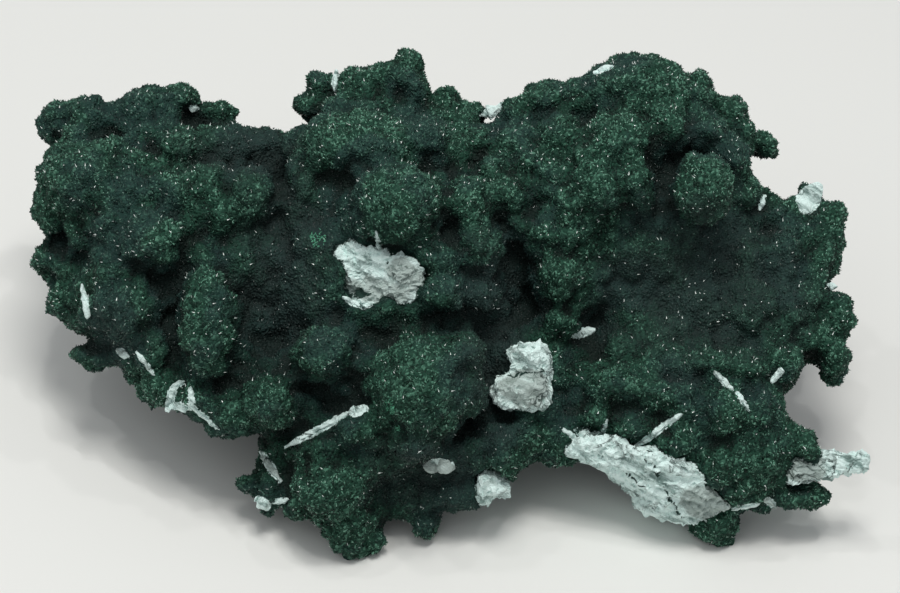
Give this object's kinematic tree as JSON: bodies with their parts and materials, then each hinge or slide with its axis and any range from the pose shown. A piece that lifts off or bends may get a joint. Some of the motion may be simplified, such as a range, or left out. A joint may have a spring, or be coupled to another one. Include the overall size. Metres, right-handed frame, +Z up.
{
  "type": "malachite specimen",
  "caption": "Lumpy cabinet-sized mass of velvety dark green malachite on pale matrix, with a broken pale face and a splinter, resting on its own low lumps.",
  "frame": {"origin": "on the floor, under the middle of the specimen's outline", "axes": "+X along the specimen, to the right for someone facing its shown side; -Y is that shown side; +Z up"},
  "size_m": [0.2744, 0.1606, 0.1084],
  "materials": {
    "malachite": "velvety coat of tiny dark green crystals",
    "matrix": "pale mint-white, rough and chalky where broken"
  },
  "bodies": {
    "root": {"malachite": "malachite", "matrix": "matrix"}
  },
  "joints": []
}
